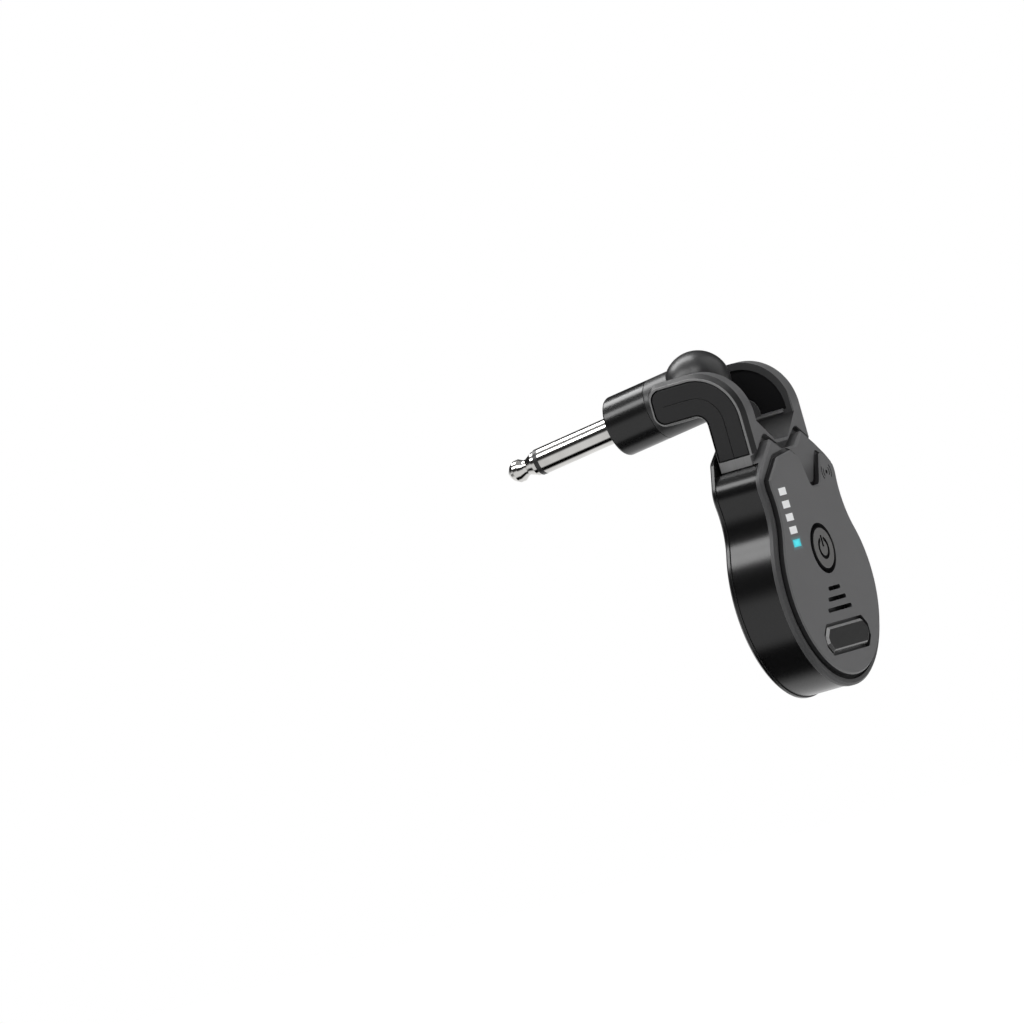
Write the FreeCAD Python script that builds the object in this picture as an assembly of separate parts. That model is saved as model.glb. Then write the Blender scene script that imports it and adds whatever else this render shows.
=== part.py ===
import FreeCAD, Part
import os
from math import cos, radians, sin, sqrt, tan

V = FreeCAD.Vector
X_AXIS = V(1, 0, 0)
Y_AXIS = V(0, 1, 0)
Z_AXIS = V(0, 0, 1)

# Millimetres. While it is drawn, the origin is the centre of the power button on the face panel,
# +X is to the right seen from the front, +Y goes back into the case and +Z is up the case.
# At the end every piece is moved so that the origin is the shoulder of the jack plug.

# Guitar-shaped outline of the case, seen from the front
bout_radius = 24.6
bout_drop = 7.9
upper_radius = 7.0
upper_rise = 16.8
upper_half_width = 19.95
waist_radius = 16.0
shoulder_slope = 45.0
top_above_bout = 6.0
case_corner = 0.8
case_corner_taper = 0.2

# Layers of the case from the front to the back
panel_thickness = 1.2
shell_thickness = 1.4
wall_depth = 10.7
cover_thickness = 1.2
wall_thickness = 1.5
wall_setback = 0.3
edge_chamfer = 0.5
rib_height = 1.2
rib_thickness = 1.0
fit_gap = 0.15
overlap = 0.5

# Back cover: its top edge follows the shell's M shape, behind the bridge
cover_corner_x = 16.3
cover_corner_z = 25.9
cover_peak_x = 10.0
cover_peak_z = 29.7
cover_valley_z = 26.0
cover_leave_angle = 25.0

# Face panel: drawn in from the edge, with one cutaway beside a horn
panel_inset = 2.3
panel_chamfer = 0.35
channel_width = 0.9
channel_depth = 0.5
panel_leave_angle = 20.0
cutaway_bottom = 14.6
cutaway_left = 3.3
cutaway_right = 8.0
horn_left = 12.2
horn_right = 15.9
horn_top = 21.9
horn_drop = 1.9
lobe_top = 24.0
lobe_right_x = 0.9
lobe_right_drop = 2.2
lobe_peak_x = -2.2
lobe_left_x = -10.5
lobe_left_drop = 0.9
lobe_left_round = 3.2

# M-shaped top edge of the front shell and the groove that follows it
peak_x = 8.6
peak_z = 27.7
valley_x = 3.5
valley_z = 24.8
shoulder_x = 13.5
shoulder_z = 24.4
shell_corner_x = 17.4
shell_corner_z = 21.4
shell_leave_angle = 21.0
groove_width = 1.6
tongue_depth = 1.6

# Yoke: two hook-shaped ears on a bridge
ear_inner = 10.4
ear_thickness = 5.0
hook_bend_y = 15.4
hook_bend_z = 34.3
hook_outer_radius = 11.1
hook_band = 8.0
hook_tip_y = 24.9
hook_tip_radius = 2.6
hook_foot_z = 25.4
rim_front = 1.7
rim_back = 0.6
rim_tip = 1.0
rim_chamfer = 1.1
rim_back_draft = 0.4
rim_tip_draft = 0.5
rim_round = 0.6
relief_tip = 0.1
cover_depth = 1.2
cover_recess = 0.1
cover_chamfer = 0.25
line_width = 0.24
line_depth = 0.2
line_stop = 2.6
bridge_top_z = 32.5
bridge_valley_x = 3.5
bridge_valley_z = 27.2
ear_relief = 0.5
relief_border = 1.7
wire_channel_width = 3.0
wire_channel_depth = 1.2
wire_channel_stop = 1.2
wire_radius = 0.35
wire_bend = 1.0
wire_clearance = 0.85
ground_bend_back = 2.3
signal_bend_back = 2.8
lug_lead = 0.1
lead_radius = 0.4

# Hinge and jack plug arm, measured along the arm from the pivot
pivot_y = 22.1
pivot_z = 42.6
arm_droop = 7.0
ball_radius = 7.9
ball_back = 2.8
ball_rise = 1.6
arm_radius = 7.3
neck_gap = 0.15
arm_length = 20.4
barrel_length = 12.0
seat_gap = 0.3
barrel_wall = 1.7
barrel_end_wall = 1.8
barrel_edge = 0.5
spigot_length = 2.5
wire_bore_radius = 3.2
pin_radius = 2.1
pin_bore_radius = 0.9
pin_head_radius = 2.7
pin_head_thickness = 0.4
pin_seat_depth = 4.0
bush_wall = 0.55
running_gap = 0.05
washer_radius = 3.2
washer_proud = 0.3
side_gap = 0.1
boss_radius = 3.7

# Jack plug, the 6.35 mm standard
plug_radius = 3.175
plug_length = 30.4
sleeve_length = 21.1
ring_length = 1.2
tip_base_radius = 2.9
tip_neck_radius = 1.9
tip_bulb_radius = 2.65
tip_nose_radius = 1.0
core_radius = 1.1
insulator_radius = 1.9
collar_radius = 5.0
collar_thickness = 2.2
tail_radius = 2.9
plug_tail = 6.5
lug_width = 2.6
lug_length = 3.4
lug_thickness = 0.4
lug_rim = 0.9
lug_rise = 0.4
ground_lug_ahead = 0.8
signal_lug_behind = 1.8
lug_joint = 1.5

# Power button
button_radius = 5.1
button_groove_radius = 6.05
button_gap = 0.1
button_proud = 0.2
button_travel = 0.4
flange_radius = 6.2
flange_thickness = 0.4
symbol_radius = 2.3
symbol_width = 0.65
symbol_depth = 0.25

# Indicator windows, slots and name plate on the face
window_x = -12.7
window_top_z = 15.1
window_pitch = 3.1
window_width = 3.8
window_height = 1.75
window_count = 5
slot_width = 1.0
slot_top_z = -9.5
slot_pitch = 2.45
slot_length = 6.4
slot_growth = 3.25
slot_count = 3
plate_z = -21.0
plate_length = 22.6
plate_height = 6.0
plate_border = 0.75
plate_proud = 0.35
plate_bevel = 0.6
plate_cut = 2.0

# Transmit sign engraved on the horn of the panel
sign_x = 12.9
sign_z = 16.9
sign_dot_radius = 0.5
sign_arc_step = 0.95
sign_line = 0.4
sign_depth = 0.3
sign_reach = 9.0
sign_spread = 7.0

# Charging port in the right-hand wall at the waist
pocket_z = 2.9
pocket_height = 12.8
pocket_width = 7.0
pocket_floor_x = 17.6
pocket_wall = 1.2
socket_width = 8.94
socket_height = 3.2
socket_depth = 7.3
socket_wall = 0.3
tongue_width = 6.6
tongue_thickness = 0.7

# Circuit board and what it carries
board_standoff = 2.2
board_thickness = 1.0
board_inset = 2.5
board_top_z = 21.3
tape_thickness = 0.3
battery_side_room = 9.6
battery_height = 20.0
battery_thickness = 5.0
battery_top_z = -2.6
tape_margin = 3.0
foam_margin = 4.0
connector_x = -12.5
connector_z = 1.2
connector_width = 4.5
connector_height = 3.2
connector_depth = 2.6
lead_spread = 0.8
lead_depth = 1.1
led_width = 1.6
led_height = 0.8
led_depth = 0.6
barrier_wall = 0.7
can_size = 9.0
can_depth = 1.6
can_x = -4.5
can_z = 9.0
codec_size = 5.0
codec_x = 5.0
codec_z = 12.0
charger_size = 3.0
charger_x = 4.0
charger_z = 3.5
chip_depth = 0.9
antenna_length = 7.0
antenna_width = 2.0
antenna_depth = 1.1
antenna_side_room = 12.6
antenna_z = 14.5
switch_size = 4.4
switch_height = 1.1
plunger_radius = 1.0

# Fasteners
case_screw_radius = 0.8
case_screw_head_radius = 1.6
case_screw_head = 0.9
case_screw_length = 6.0
case_boss_radius = 2.2
case_pad = 0.7
boss_clearance = 0.4
upper_boss_x = 8.8
lower_boss_angle = 25.0
board_screw_radius = 0.6
board_screw_head_radius = 1.3
board_screw_head = 0.7
board_screw_length = 2.6
board_post_radius = 1.8
side_post_inset = 7.1
side_post_z = -9.0
top_post_drop = 4.6
yoke_screw_x = 4.5
yoke_screw_radius = 0.9
yoke_screw_head_radius = 1.6
yoke_screw_head = 0.9
yoke_hole_skin = 0.8
screw_skin = 0.6
slot_skin = 0.6
cross_reach = 0.62
cross_half_width = 0.14
cross_depth = 0.3

# Worked out from the sizes above
shell_front = panel_thickness
shell_back = shell_front + shell_thickness
cover_front = shell_back + wall_depth
back_y = cover_front + cover_thickness
middle_y = (shell_back + cover_front) / 2
ring_top = upper_rise + top_above_bout
wall_inset = wall_setback + wall_thickness
ear_outer = ear_inner + ear_thickness
neck_length = arm_length - barrel_length
barrel_end = arm_length - seat_gap
lug_y = arm_length - plug_tail
washer_thickness = ear_relief + washer_proud
boss_face = ear_inner + ear_relief - washer_thickness - side_gap
pin_start = boss_face - pin_seat_depth
tongue_back = shell_back + tongue_depth
board_front = shell_back + board_standoff
board_back = board_front + board_thickness
battery_front = board_back + tape_thickness
battery_back = battery_front + battery_thickness
port_y = board_back + socket_height / 2
bush_radius = pin_radius + running_gap + bush_wall
relief_floor = ear_inner + ear_relief
cover_floor = ear_outer - cover_depth
channel_floor = cover_floor - wire_channel_depth
wire_entry_x = (channel_floor + cover_floor) / 2
wire_entry_y = hook_bend_y - hook_outer_radius + hook_band / 2
upper_boss_z = ring_top - wall_inset - case_boss_radius - fit_gap
boss_circle = bout_radius - wall_inset - case_boss_radius - boss_clearance
lower_boss_x = boss_circle * sin(radians(lower_boss_angle))
lower_boss_z = -bout_drop - boss_circle * cos(radians(lower_boss_angle))
case_screws_at = [(side * upper_boss_x, upper_boss_z) for side in (-1, 1)]
case_screws_at += [(side * lower_boss_x, lower_boss_z) for side in (-1, 1)]
side_post_x = bout_radius - side_post_inset
battery_width = 2 * (bout_radius - battery_side_room)
antenna_x = antenna_side_room - bout_radius
board_screws_at = [(-side_post_x, side_post_z), (side_post_x, side_post_z), (0, ring_top - top_post_drop)]
yoke_hole_end = bridge_valley_z - yoke_hole_skin
windows_at = [window_top_z - window_pitch * i for i in range(window_count)]


def flat(x, z, y=0):
    """A point of the front view at depth y."""
    return V(x, y, z)


def bend(corners, closed=False):
    """Edges through corners, each a point and the radius that rounds it."""
    count = len(corners)
    starts = []
    ends = []
    arcs = []
    for i, (point, radius) in enumerate(corners):
        inner = closed or 0 < i < count - 1
        if radius == 0 or not inner:
            starts.append(point)
            ends.append(point)
            arcs.append(None)
            continue
        before = (corners[i - 1][0] - point).normalize()
        after = (corners[(i + 1) % count][0] - point).normalize()
        half = before.getAngle(after) / 2
        middle = (before + after).normalize() * (radius / sin(half) - radius)
        start = point + before * (radius / tan(half))
        end = point + after * (radius / tan(half))
        starts.append(start)
        ends.append(end)
        arcs.append(Part.Arc(start, point + middle, end).toShape())
    edges = []
    for i in range(count):
        if arcs[i]:
            edges.append(arcs[i])
        if closed or i < count - 1:
            edges.append(Part.makeLine(ends[i], starts[(i + 1) % count]))
    return edges


def loop(corners):
    """Closed wire through rounded corners."""
    return Part.Wire(bend(corners, closed=True))


def prism(wire, direction):
    """Solid swept straight from a flat wire."""
    return Part.Face(wire).extrude(direction)


def slab(wire, y_from, y_to):
    """Solid between two depths from a wire drawn at depth 0."""
    drawn = wire.copy()
    drawn.translate(V(0, y_from, 0))
    return prism(drawn, V(0, y_to - y_from, 0))


def bevelled(wire, chamfer, y_from, y_to):
    """Slab whose edge at y_from is chamfered."""
    body = slab(wire, y_from, y_to)
    rim = [edge for edge in body.Edges if abs(edge.BoundBox.YMin - y_from) + abs(edge.BoundBox.YMax - y_from) < 0.001]
    return body.makeChamfer(chamfer, rim)


def wire_along(corners, radius):
    """Round wire that follows a path with rounded corners."""
    path = Part.Wire(bend(corners))
    start = corners[0][0]
    ring = Part.Wire(Part.makeCircle(radius, start, corners[1][0] - start))
    return path.makePipeShell([ring], True, True)


def box(x_from, x_to, y_from, y_to, z_from, z_to):
    """Box between two corners."""
    return Part.makeBox(x_to - x_from, y_to - y_from, z_to - z_from, V(x_from, y_from, z_from))


def rod(radius, start, end):
    """Cylinder from one point to another."""
    way = end - start
    return Part.makeCylinder(radius, way.Length, start, way)


def tube(outer, inner, start, end):
    """Round tube from one point to another."""
    return rod(outer, start, end).cut(rod(inner, start, end))


def spin(profile, axis):
    """Solid turned from a closed profile about a line through the origin."""
    return Part.Face(Part.makePolygon(profile + profile[:1])).revolve(V(0, 0, 0), axis, 360)


def join(shapes):
    """One clean solid from shapes that touch or overlap."""
    return shapes[0].multiFuse(shapes[1:]).removeSplitter()


def mirrored(shape):
    """The same piece on the other side of the case."""
    return shape.mirror(V(0, 0, 0), X_AXIS)


def pair(shape):
    """A left and a right piece, kept as separate solids."""
    return Part.makeCompound([mirrored(shape), shape])


def stadium(height, width, x, y, z):
    """Wire facing +X, long way up, with round ends."""
    half = height / 2 - width / 2
    radius = width / 2
    corners = [V(x, y - radius, z - half), V(x, y - radius, z + half)]
    top = Part.Arc(corners[1], V(x, y, z + half + radius), V(x, y + radius, z + half)).toShape()
    low_end = V(x, y + radius, z - half)
    bottom = Part.Arc(low_end, V(x, y, z - half - radius), corners[0]).toShape()
    sides = [Part.makeLine(corners[0], corners[1]), Part.makeLine(V(x, y + radius, z + half), low_end)]
    return Part.Wire([sides[0], top, sides[1], bottom])


# Centres of the three circles that make one side of the outline
low_centre = flat(0, -bout_drop)
high_centre = flat(upper_half_width - upper_radius, upper_rise)


def find_waist_centre():
    """Centre of the hollow circle that touches the lower and the upper bout."""
    between = high_centre - low_centre
    to_low = bout_radius + waist_radius
    to_high = upper_radius + waist_radius
    along = (to_low ** 2 - to_high ** 2 + between.Length ** 2) / (2 * between.Length)
    across = sqrt(to_low ** 2 - along ** 2)
    direction = V(between).normalize()
    outward = flat(direction.z, -direction.x)
    return low_centre + direction * along + outward * across


waist_centre = find_waist_centre()


def arc_between(centre, radius, start, end):
    """Arc about a centre from one point to another, the short way."""
    middle = ((start - centre).normalize() + (end - centre).normalize()).normalize()
    return Part.Arc(start, centre + middle * radius, end).toShape()


def right_side(inset, leave_angle):
    """Edges of the outline from the bottom up the right side, and where they stop."""
    low_radius = bout_radius - inset
    high_radius = upper_radius - inset
    bottom = low_centre - Z_AXIS * low_radius
    low_end = low_centre + (waist_centre - low_centre).normalize() * low_radius
    side = low_centre + X_AXIS * low_radius
    high_start = high_centre + (waist_centre - high_centre).normalize() * high_radius
    leave = radians(leave_angle)
    high_end = high_centre + flat(cos(leave), sin(leave)) * high_radius
    edges = [arc_between(low_centre, low_radius, bottom, side)]
    edges.append(arc_between(low_centre, low_radius, side, low_end))
    edges.append(arc_between(waist_centre, waist_radius + inset, low_end, high_start))
    edges.append(arc_between(high_centre, high_radius, high_start, high_end))
    return edges, high_end


def outline(inset, corners, leave_angle):
    """Closed wire of the case shape; corners run across the top from right to left."""
    right, start = right_side(inset, leave_angle)
    left = [mirrored(edge) for edge in reversed(right)]
    end = flat(-start.x, start.z)
    across = bend([(start, 0)] + corners + [(end, 0)])
    return Part.Wire(right + across + left)


def both_ways(corners):
    """Corners of the right half followed by their mirror images."""
    return corners + [(flat(-point.x, point.z), radius) for point, radius in reversed(corners)]


def shoulder_point(inset, z):
    """Where the sloping shoulder, drawn in by inset, reaches height z."""
    slope = radians(shoulder_slope)
    start = high_centre + flat(cos(slope), sin(slope)) * (upper_radius - inset)
    rise = z - start.z
    return flat(start.x - rise * tan(slope), z)


def case_outline(inset):
    """Outline of the wall, cut flat under the yoke."""
    top = shoulder_point(inset, ring_top - inset)
    return outline(inset, both_ways([(top, case_corner - inset * case_corner_taper)]), shoulder_slope)


def cover_outline(inset):
    """Outline of the back cover, which rises behind the bridge."""
    corner = flat(cover_corner_x - inset * 0.8, cover_corner_z - inset * 0.7)
    peak = flat(cover_peak_x, cover_peak_z - inset * 1.2)
    valley = flat(bridge_valley_x, cover_valley_z - inset)
    return outline(inset, both_ways([(corner, 3.0), (peak, 1.0), (valley, 1.0)]), cover_leave_angle)


def shell_outline(inset):
    """Outline of the front shell with its M-shaped top edge."""
    corner = flat(shell_corner_x - inset * 0.9, shell_corner_z - inset * 0.5)
    shoulder = flat(shoulder_x - inset * 0.5, shoulder_z - inset)
    peak = flat(peak_x, peak_z - inset * 1.3)
    valley = flat(valley_x, valley_z - inset)
    return outline(inset, both_ways([(corner, 1.5), (shoulder, 1.0), (peak, 0.7), (valley, 0.7)]),
                   shell_leave_angle)


def panel_outline(inset):
    """Outline of the face panel: a lobe on the left, a cutaway and a horn on the right."""
    corners = [(flat(horn_right, horn_top - horn_drop - inset), 1.0),
               (flat(horn_left, horn_top - inset), 1.2),
               (flat(cutaway_right + inset, cutaway_bottom - inset), 1.9),
               (flat(cutaway_left - inset, cutaway_bottom - inset), 1.9),
               (flat(lobe_right_x - inset, lobe_top - lobe_right_drop - inset), 1.6),
               (flat(lobe_peak_x - inset * 0.5, lobe_top - inset), 2.0),
               (flat(lobe_left_x, lobe_top - lobe_left_drop - inset), lobe_left_round)]
    return outline(panel_inset + inset, corners, panel_leave_angle)


def hook(grow_out, grow_in, grow_tip, foot_z, tip_radius, x):
    """Wire facing +X of the hook shape: up, round a right angle and straight back."""
    outer = hook_outer_radius + grow_out
    inner = hook_outer_radius - hook_band - grow_in
    tip_y = hook_tip_y + grow_tip
    high = hook_bend_z + outer
    low = hook_bend_z + inner
    front = hook_bend_y - outer
    back = hook_bend_y - inner
    centre = V(x, hook_bend_y, hook_bend_z)
    top = V(x, hook_bend_y, high)
    underside = V(x, hook_bend_y, low)
    rise = [Part.makeLine(V(x, front, foot_z), V(x, front, hook_bend_z)),
            arc_between(centre, outer, V(x, front, hook_bend_z), top)]
    tip = bend([(top, 0), (V(x, tip_y, high), tip_radius), (V(x, tip_y, low), tip_radius), (underside, 0)])
    fall = [arc_between(centre, inner, underside, V(x, back, hook_bend_z)),
            Part.makeLine(V(x, back, hook_bend_z), V(x, back, foot_z)),
            Part.makeLine(V(x, back, foot_z), V(x, front, foot_z))]
    return Part.Wire(rise + tip + fall)


def face_panel():
    """Raised guitar-shaped panel with the openings for everything on the face."""
    panel = bevelled(panel_outline(0), panel_chamfer, 0, shell_front)
    panel = panel.cut(rod(button_groove_radius, V(0, -1, 0), V(0, shell_front + 1, 0)))
    for z in windows_at:
        panel = panel.cut(window(z, 0))
    for cut in face_slots(shell_front + 1):
        panel = panel.cut(cut)
    panel = panel.cut(slab(plate_outline(-plate_border), -1, shell_front + 1))
    return panel.cut(transmit_sign())


def window(z, gap):
    """Solid of one indicator window through panel and shell."""
    half_width = window_width / 2 + gap
    half_height = window_height / 2 + gap
    return box(window_x - half_width, window_x + half_width, 0, shell_back, z - half_height, z + half_height)


def face_slots(depth):
    """Three slots that get longer downwards."""
    cuts = []
    for i in range(slot_count):
        half = (slot_length + slot_growth * i) / 2
        z = slot_top_z - slot_pitch * i
        high = z + slot_width / 2
        low = z - slot_width / 2
        round_end = slot_width * 0.45
        corners = [(flat(-half, low), round_end), (flat(half, low), round_end),
                   (flat(half, high), round_end), (flat(-half, high), round_end)]
        cuts.append(slab(loop(corners), -1, depth))
    return cuts


def plate_outline(inset):
    """Outline of the blank name plate: long, with cut corners."""
    half = plate_length / 2 - inset
    high = plate_height / 2 - inset
    cut = plate_cut - inset * 0.4
    corners = []
    for x, z in ((1, -1), (1, 1), (-1, 1), (-1, -1)):
        along = flat(x * (half - cut), plate_z + z * high)
        up = flat(x * half, plate_z + z * (high - cut))
        turn = [(along, 0.8), (up, 0.8)]
        corners += turn if x * z < 0 else turn[::-1]
    return loop(corners)


def transmit_sign():
    """Dot with two arcs above it on each side, cut into the horn."""
    centre = V(sign_x, 0, sign_z)
    cuts = [rod(sign_dot_radius, centre - Y_AXIS, centre + Y_AXIS * sign_depth)]
    wedges = []
    for side in (-1, 1):
        far_x = sign_x + side * sign_reach
        corners = [(flat(sign_x, sign_z), 0), (flat(far_x, sign_z - sign_spread), 0),
                   (flat(far_x, sign_z + sign_spread), 0)]
        wedges.append(slab(loop(corners), -1, sign_depth))
    for i in (1, 2):
        middle = sign_dot_radius + sign_arc_step * i
        ring = tube(middle + sign_line / 2, middle - sign_line / 2, centre - Y_AXIS, centre + Y_AXIS * sign_depth)
        cuts += [ring.common(wedge) for wedge in wedges]
    return Part.makeCompound(cuts)


def locating_rib(y_from, y_to):
    """Thin rib that runs round just inside the wall, open at the charging port."""
    outside = wall_inset + fit_gap
    rib = slab(case_outline(outside), y_from, y_to).cut(slab(case_outline(outside + rib_thickness), y_from, y_to))
    reach = pocket_height / 2 + pocket_wall + fit_gap
    return rib.cut(box(pocket_floor_x - 3, bout_radius, y_from, y_to, pocket_z - reach, pocket_z + reach))


def front_shell():
    """Front half of the case with screw bosses and board posts on its back."""
    shell = bevelled(shell_outline(0), edge_chamfer, shell_front, shell_back)
    channel = slab(panel_outline(-channel_width), shell_front - 1, shell_front + channel_depth)
    shell = shell.cut(channel.cut(slab(panel_outline(0), shell_front - 1, shell_front + channel_depth)))
    tongue = slab(shell_outline(0), shell_back, tongue_back)
    above = ring_top + fit_gap
    tongue = tongue.common(box(-bout_radius, bout_radius, 0, back_y, above, pivot_z))
    parts = [shell, tongue, locating_rib(shell_back, shell_back + rib_height)]
    for x, z in case_screws_at:
        parts.append(rod(case_boss_radius, V(x, shell_back - overlap, z), V(x, cover_front - case_pad, z)))
    for x, z in board_screws_at:
        parts.append(rod(board_post_radius, V(x, shell_back - overlap, z), V(x, board_front, z)))
    shell = join(parts)
    for x, z in case_screws_at:
        start = shell_back + screw_skin
        shell = shell.cut(rod(case_screw_radius, V(x, start, z), V(x, cover_front, z)))
    for x, z in board_screws_at:
        shell = shell.cut(rod(board_screw_radius, V(x, shell_back, z), V(x, board_front, z)))
    shell = shell.cut(rod(button_radius + button_gap, V(0, 0, 0), V(0, shell_back + 1, 0)))
    for z in windows_at:
        shell = shell.cut(window(z, 0))
    for cut in face_slots(shell_back - slot_skin):
        shell = shell.cut(cut)
    return shell


def wall_ring():
    """Side wall of the case with the pocket of the charging port in it."""
    outside = slab(case_outline(wall_setback), shell_back, cover_front)
    inside = slab(case_outline(wall_inset), shell_back, cover_front)
    ring = outside.cut(inside)
    seat = prism(stadium(pocket_height + 2 * pocket_wall, pocket_width + 2 * pocket_wall,
                         pocket_floor_x - pocket_wall, port_y, pocket_z), X_AXIS * bout_radius)
    seat = seat.common(outside)
    ring = join([ring, seat])
    pocket = stadium(pocket_height, pocket_width, pocket_floor_x, port_y, pocket_z)
    ring = ring.cut(prism(pocket, X_AXIS * bout_radius))
    mouth = stadium(socket_width + 2 * fit_gap, socket_height + 2 * fit_gap, pocket_floor_x - 3, port_y, pocket_z)
    ring = ring.cut(prism(mouth, X_AXIS * 6))
    top_low = ring_top - wall_inset
    for side in (-1, 1):
        x = side * yoke_screw_x
        ring = ring.cut(rod(yoke_screw_radius, V(x, middle_y, top_low - 1), V(x, middle_y, ring_top)))
        x = side * wire_entry_x
        ring = ring.cut(rod(pin_bore_radius + 0.4, V(x, wire_entry_y, top_low - 1), V(x, wire_entry_y, ring_top)))
    return ring


def back_cover():
    """Back of the case with counterbored screw holes."""
    cover = bevelled(cover_outline(0), edge_chamfer, back_y, cover_front)
    rib = locating_rib(cover_front - rib_height, cover_front)
    for x, z in case_screws_at:
        rib = rib.cut(rod(case_boss_radius + fit_gap, V(x, 0, z), V(x, cover_front, z)))
    parts = [cover, rib]
    for x, z in case_screws_at:
        parts.append(rod(case_boss_radius, V(x, cover_front - case_pad, z), V(x, cover_front + overlap, z)))
    cover = join(parts)
    for x, z in case_screws_at:
        seat = back_y - case_screw_head - 0.1
        cover = cover.cut(rod(case_screw_head_radius + fit_gap, V(x, seat, z), V(x, back_y + 1, z)))
        cover = cover.cut(rod(case_screw_radius + fit_gap, V(x, cover_front - 1, z), V(x, back_y, z)))
    return cover


def ear():
    """Right-hand ear: rim, pocket for its cover, relief inside and bearing hole."""
    foot = ring_top
    body = prism(hook(rim_front, rim_back, rim_tip, foot, hook_tip_radius + rim_round, ear_inner),
                 X_AXIS * (ear_thickness - rim_chamfer))
    narrow = hook(rim_front - rim_chamfer, rim_back - rim_back_draft, rim_tip - rim_tip_draft, foot, hook_tip_radius, ear_outer)
    wide = hook(rim_front, rim_back, rim_tip, foot, hook_tip_radius + rim_round, ear_outer - rim_chamfer)
    body = join([body, Part.makeLoft([wide, narrow], True, True)])
    pocket = hook(fit_gap, fit_gap, fit_gap, hook_foot_z - fit_gap, hook_tip_radius, cover_floor)
    body = body.cut(prism(pocket, X_AXIS * (cover_depth + 1)))
    side_room = (hook_band - wire_channel_width) / 2
    channel = hook(-side_room, -side_room, -wire_channel_stop, ring_top - 1, 1.0, channel_floor)
    body = body.cut(prism(channel, X_AXIS * (wire_channel_depth + 0.01)))
    relief = hook(rim_front - relief_border, rim_back - relief_border, relief_tip,
                  bridge_top_z, hook_tip_radius, ear_inner - 1)
    body = body.cut(prism(relief, X_AXIS * (ear_relief + 1)))
    return body.cut(rod(washer_radius + fit_gap, pivot_at(ear_inner - 1), pivot_at(relief_floor)))


def bearing_cut():
    """Bearing hole and head seat through the right-hand ear."""
    hole = rod(bush_radius, pivot_at(ear_inner - 1), pivot_at(ear_outer))
    seat_start = channel_floor - 0.1
    seat = rod(pin_head_radius + fit_gap, pivot_at(seat_start), pivot_at(cover_floor + 0.01))
    return join([hole.common(box(0, seat_start, 0, 99, 0, 99)), seat])


def pivot_at(x):
    """Point of the hinge axis at x."""
    return V(x, pivot_y, pivot_z)


def yoke():
    """Both ears on their bridge, with the recess that takes the front shell's top edge."""
    back = cover_front - running_gap
    front = hook_bend_y - hook_outer_radius - rim_front
    corners = [(flat(ear_inner + 1, ring_top), 0), (flat(ear_inner + 1, bridge_top_z + 1), 0),
               (flat(ear_inner, bridge_top_z + 1), 0), (flat(ear_inner, bridge_top_z), 0),
               (flat(bridge_valley_x, bridge_valley_z), 0.8)]
    bridge = slab(loop(both_ways(corners)), front, back)
    right = ear()
    body = join([bridge, right, mirrored(right)])
    recess = Part.Face(shell_outline(0)).makeOffset2D(groove_width)
    recess.translate(V(0, front - 1, 0))
    body = body.cut(recess.extrude(V(0, tongue_back - front + 1, 0)))
    for side in (-1, 1):
        x = side * yoke_screw_x
        body = body.cut(rod(yoke_screw_radius, V(x, middle_y, ring_top - 1), V(x, middle_y, yoke_hole_end)))
    hole = bearing_cut()
    return body.cut(hole).cut(mirrored(hole))


def hook_cover():
    """Flat cover that closes the wire channel of the right-hand ear."""
    x = cover_floor
    full = hook(0, 0, 0, hook_foot_z, hook_tip_radius, x)
    thickness = cover_depth - cover_recess
    chamfer = cover_chamfer
    plate = prism(full, X_AXIS * (thickness - chamfer))
    wide = hook(0, 0, 0, hook_foot_z, hook_tip_radius, x + thickness - chamfer)
    narrow = hook(-chamfer, -chamfer, -chamfer, hook_foot_z + chamfer, hook_tip_radius - chamfer, x + thickness)
    plate = join([plate, Part.makeLoft([wide, narrow], True, True)])
    half_line = (hook_band - line_width) / 2
    line = hook(-half_line, -half_line, -line_stop, hook_foot_z - 1, 0.05, x + thickness - line_depth)
    return plate.cut(prism(line, X_AXIS * 1))


def on_arm(shape):
    """Turn a piece drawn along +Y from the pivot to where the arm rests."""
    placed = shape.copy()
    placed.rotate(V(0, 0, 0), X_AXIS, -arm_droop)
    placed.translate(V(0, pivot_y, pivot_z))
    return placed


def along(y):
    """Point of the arm's axis."""
    return V(0, y, 0)


def knuckle():
    """Ball-ended neck of the arm with flat bosses that face the ears."""
    ball = Part.makeSphere(ball_radius, V(0, -ball_back, ball_rise), Y_AXIS)
    neck = rod(arm_radius, along(-ball_back), along(neck_length))
    boss = rod(boss_radius, V(-boss_face, 0, 0), V(boss_face, 0, 0))
    spigot = rod(arm_radius - barrel_wall - fit_gap, along(0), along(neck_length + spigot_length))
    body = join([ball, neck, boss, spigot])
    body = body.cut(rod(wire_bore_radius, along(-2), along(neck_length + spigot_length + 1)))
    for side in (-1, 1):
        body = body.cut(rod(pin_radius, V(side * pin_start, 0, 0), V(side * ear_outer, 0, 0)))
        body = body.cut(rod(pin_bore_radius, V(0, 0, 0), V(side * ear_outer, 0, 0)))
    return body


def hinge_pin():
    """Right-hand hollow pin: pressed into the knuckle, turning in the ear."""
    pin = rod(pin_radius, V(pin_start, 0, 0), V(channel_floor, 0, 0))
    head = rod(pin_head_radius, V(channel_floor, 0, 0), V(channel_floor + pin_head_thickness, 0, 0))
    pin = join([pin, head])
    return pin.cut(rod(pin_bore_radius, V(0, 0, 0), V(ear_outer, 0, 0)))


def hinge_bush():
    """Right-hand plain bearing bush in the ear."""
    return tube(bush_radius, pin_radius + running_gap, pivot_at(relief_floor), pivot_at(channel_floor - 0.1))


def friction_washer():
    """Right-hand washer between the ear and the knuckle's boss."""
    start = relief_floor - washer_thickness
    return tube(washer_radius, pin_radius + running_gap, pivot_at(start), pivot_at(relief_floor))


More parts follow.
